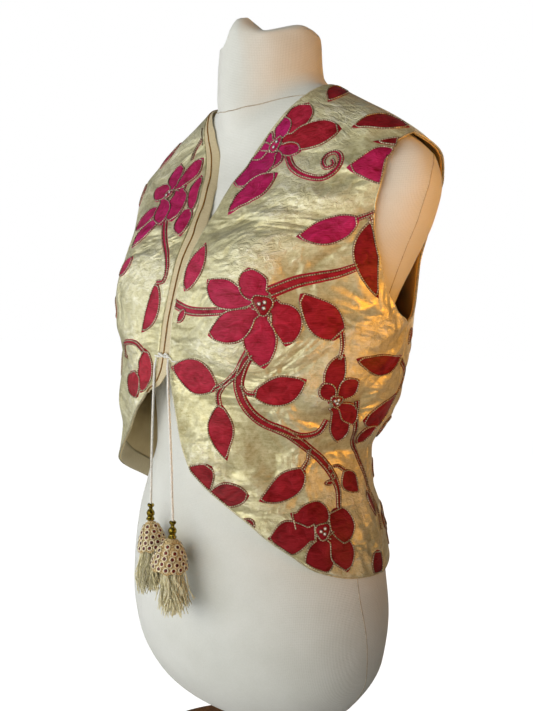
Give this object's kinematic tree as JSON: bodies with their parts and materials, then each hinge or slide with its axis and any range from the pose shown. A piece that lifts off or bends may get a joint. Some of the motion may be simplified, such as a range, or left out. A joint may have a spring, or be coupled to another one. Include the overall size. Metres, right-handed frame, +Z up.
{
  "type": "embroidered waistcoat on a limbless dress form",
  "caption": "Open-fronted embroidered waistcoat with a cutaway hem, tied under the bust with tasselled cords, on a headless armless dress form with a turned wooden stand.",
  "frame": {"origin": "centre of the round base, on the floor it stands on", "axes": "+Z up along the post, -Y out of the front of the waistcoat, +X to the wearer's left"},
  "size_m": [0.404, 0.3115, 0.8265],
  "materials": {
    "cloth": "crumpled gold silk tissue with a metallic sheen",
    "lining": "matt cream lining",
    "form": "matt cream woven cover",
    "wood": "satin brown stain",
    "cord": "twisted cream cord",
    "brass": "polished, darkened in the hollows",
    "crochet": "gold crochet thread",
    "silk": "loose champagne silk strands"
  },
  "bodies": {
    "root": {"back": "cloth", "left_front": "cloth", "right_front": "cloth", "lining_back": "lining", "lining_right_front": "lining", "form_torso": "form", "stand_base": "wood", "stand_collar": "wood", "stand_post": "wood", "tie_knot": "cord", "tie_cord_left": "cord", "tie_cord_right": "cord", "bead_left": "brass", "bead_right": "brass", "tassel_skirt_left": "crochet", "tassel_skirt_right": "crochet", "tassel_left": "silk", "tassel_right": "silk"}
  },
  "joints": []
}
